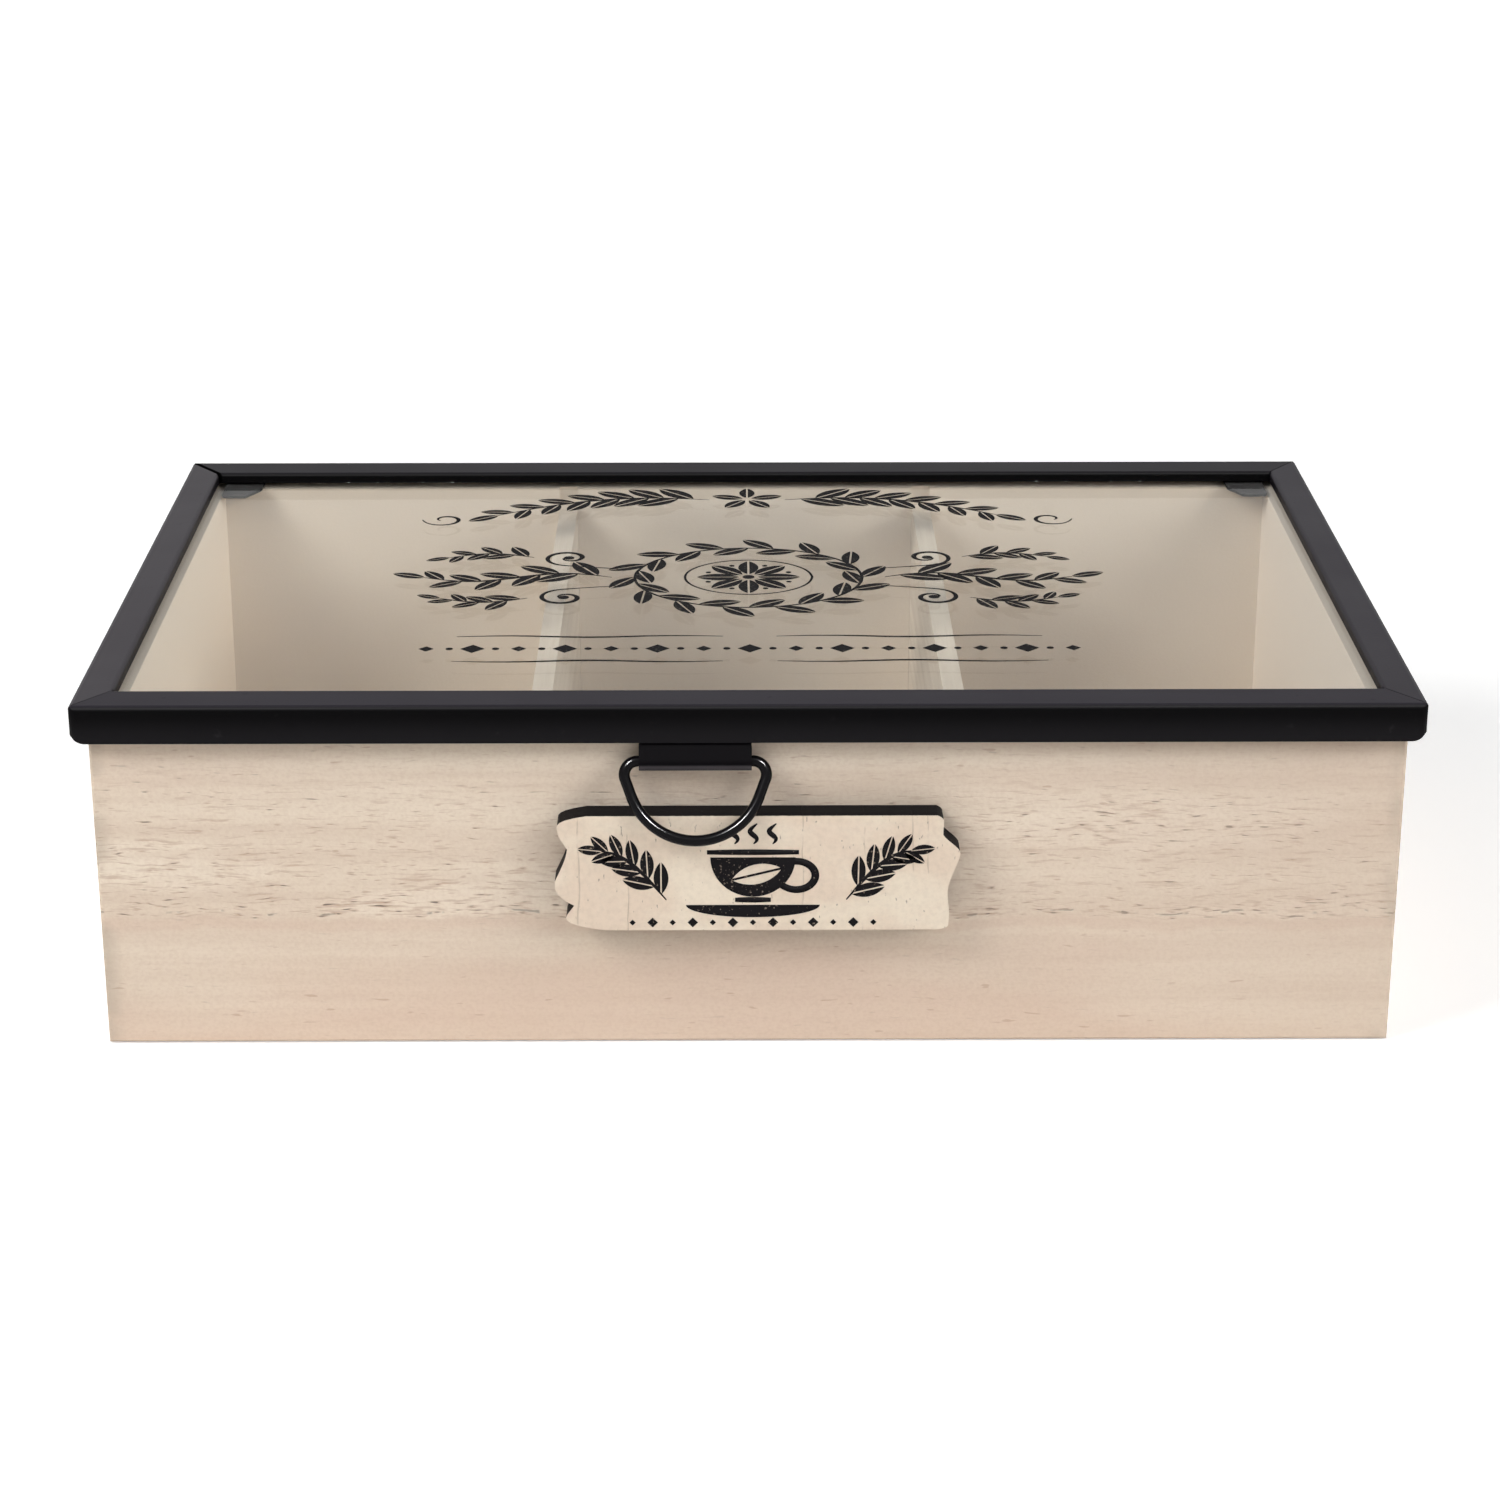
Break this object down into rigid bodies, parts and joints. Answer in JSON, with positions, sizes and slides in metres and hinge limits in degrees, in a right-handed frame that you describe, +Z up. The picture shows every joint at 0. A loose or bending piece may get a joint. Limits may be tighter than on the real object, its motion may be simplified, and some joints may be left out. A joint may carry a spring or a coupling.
{
  "type": "tea bag organizer box",
  "caption": "Wooden tea bag box with equal compartments, a hinged glass lid in a folded metal frame, a front plaque and a hanging D-ring pull.",
  "frame": {"origin": "middle of the box's flat underside", "axes": "+X to the right as seen from the front, +Y from the front to the back where the hinges are, +Z up"},
  "size_m": [0.24, 0.1615, 0.0665],
  "materials": {
    "whitewashed_wood": "whitewashed open-pored softwood, matt",
    "plain_board": "thin pale board, matt",
    "plaque_board": "distressed cream face over black edges",
    "black_frame": "satin black powder coat",
    "clear_glass": "clear float glass",
    "grey_clip": "dull dark grey sheet",
    "hinge_steel": "blackened steel",
    "black_pull": "gloss black enamelled steel"
  },
  "bodies": {
    "box": {"front_panel": "whitewashed_wood", "back_panel": "whitewashed_wood", "end_panel_left": "whitewashed_wood", "end_panel_right": "whitewashed_wood", "bottom_panel": "plain_board", "divider_left": "plain_board", "divider_right": "plain_board", "label_plaque": "plaque_board", "hinge_leaf_box_left": "hinge_steel", "hinge_leaf_box_right": "hinge_steel", "hinge_pin_left": "hinge_steel", "hinge_pin_right": "hinge_steel", "hinge_screws_left": "hinge_steel", "hinge_screws_right": "hinge_steel"},
    "lid": {"frame_rail_front": "black_frame", "frame_rail_rear": "black_frame", "frame_rail_left": "black_frame", "frame_rail_right": "black_frame", "glass_pane": "clear_glass", "glass_clip_front_left": "grey_clip", "glass_clip_front_right": "grey_clip", "glass_clip_rear_left": "grey_clip", "glass_clip_rear_right": "grey_clip", "hinge_leaf_lid_left": "hinge_steel", "hinge_leaf_lid_right": "hinge_steel", "pull_strap": "black_pull"},
    "ring": {"pull_ring": "black_pull"}
  },
  "joints": [
    {"name": "lid_hinge", "type": "hinge", "parent": "box", "child": "lid", "pos_m": [0, 0.0761, 0.0603], "axis": [-1, 0, 0], "range_deg": [0, 105]},
    {"name": "ring_swing", "type": "hinge", "parent": "lid", "child": "ring", "pos_m": [-0.0095, -0.0767, 0.0558], "axis": [-1, 0, 0], "range_deg": [0, 118]}
  ]
}
